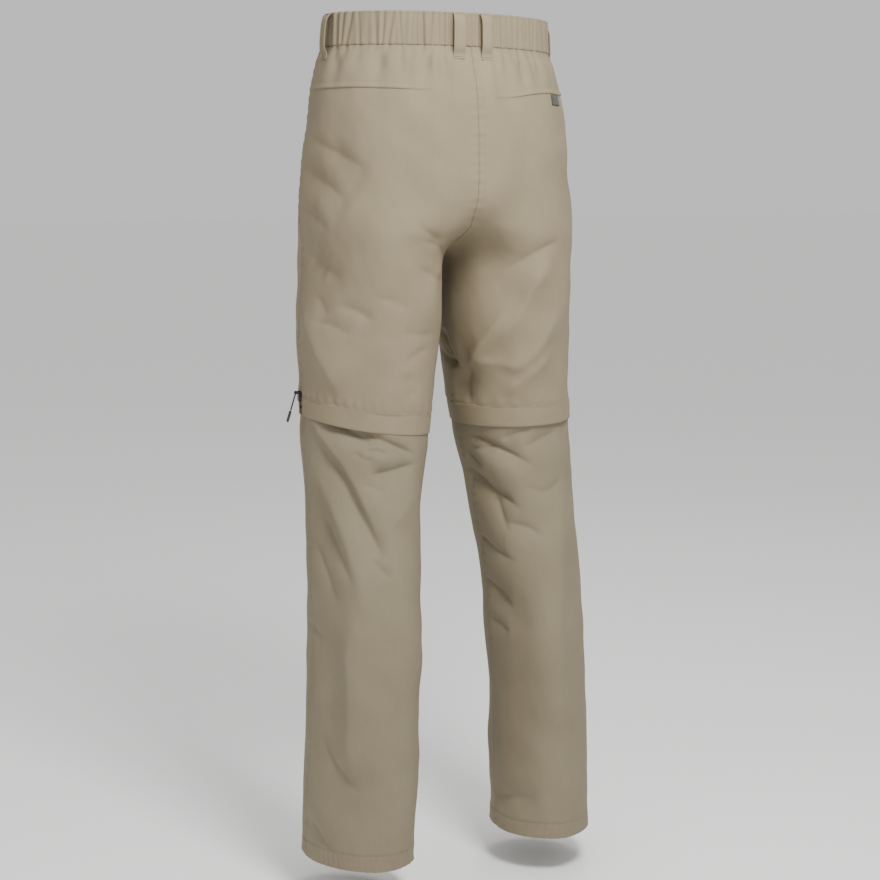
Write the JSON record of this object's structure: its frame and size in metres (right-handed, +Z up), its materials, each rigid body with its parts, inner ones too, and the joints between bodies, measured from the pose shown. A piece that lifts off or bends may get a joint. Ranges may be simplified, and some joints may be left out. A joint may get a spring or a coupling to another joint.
{
  "type": "convertible zip-off trousers",
  "caption": "Convertible hiking trousers filled out as when worn: elastic back waistband with belt loops, back pockets, and lower legs that zip off under a storm flap at each knee.",
  "frame": {"origin": "middle of the waistband opening, at half the height of the waistband", "axes": "+Z up, the front of the garment faces -Y, the wearer's left is +X"},
  "size_m": [0.3977, 0.2796, 1.041],
  "materials": {
    "shell_fabric": "thin plain-woven nylon, beige khaki, matt",
    "lower_leg_fabric": "thin plain-woven nylon, beige khaki, matt",
    "waistband_fabric": "plain-woven nylon over elastic, gathered at the back",
    "tab_fabric": "dark olive-grey woven tape",
    "zip_tape": "knitted zip tape with a nylon coil",
    "button": "moulded, satin",
    "zip_metal": "grey die-cast metal",
    "pull_grip": "moulded grip"
  },
  "bodies": {
    "trousers": {"back_left": "shell_fabric", "back_right": "shell_fabric", "front_left": "shell_fabric", "front_right": "shell_fabric", "fly_placket": "shell_fabric", "pocket_welt_left": "shell_fabric", "pocket_welt_right": "shell_fabric", "storm_flap_left": "shell_fabric", "storm_flap_right": "shell_fabric", "lower_back_left": "lower_leg_fabric", "lower_back_right": "lower_leg_fabric", "lower_front_left": "lower_leg_fabric", "lower_front_right": "lower_leg_fabric", "waistband_back": "waistband_fabric", "waistband_front_left": "waistband_fabric", "waistband_front_right": "waistband_fabric", "belt_loop_back_left": "waistband_fabric", "belt_loop_back_right": "waistband_fabric", "belt_loop_side_left": "waistband_fabric", "belt_loop_side_right": "waistband_fabric", "belt_loop_front_left": "waistband_fabric", "belt_loop_front_right": "waistband_fabric", "woven_tab": "tab_fabric", "waist_button": "button", "zip_tape_left": "zip_tape", "zip_slider_left": "zip_metal", "zip_tape_right": "zip_tape", "zip_slider_right": "zip_metal"},
    "pull_left": {"zip_pull_left": "zip_metal", "pull_grip_left": "pull_grip"},
    "pull_right": {"zip_pull_right": "zip_metal", "pull_grip_right": "pull_grip"}
  },
  "joints": [
    {"name": "pull_left_swing", "type": "hinge", "parent": "trousers", "child": "pull_left", "pos_m": [0.18378, -0.01573, -0.43994], "axis": [-0.14, -0.9901, 0], "range_deg": [-15, 125]},
    {"name": "pull_right_swing", "type": "hinge", "parent": "trousers", "child": "pull_right", "pos_m": [-0.18375, -0.01687, -0.45081], "axis": [-0.14, 0.9902, 0], "range_deg": [-15, 125]}
  ]
}
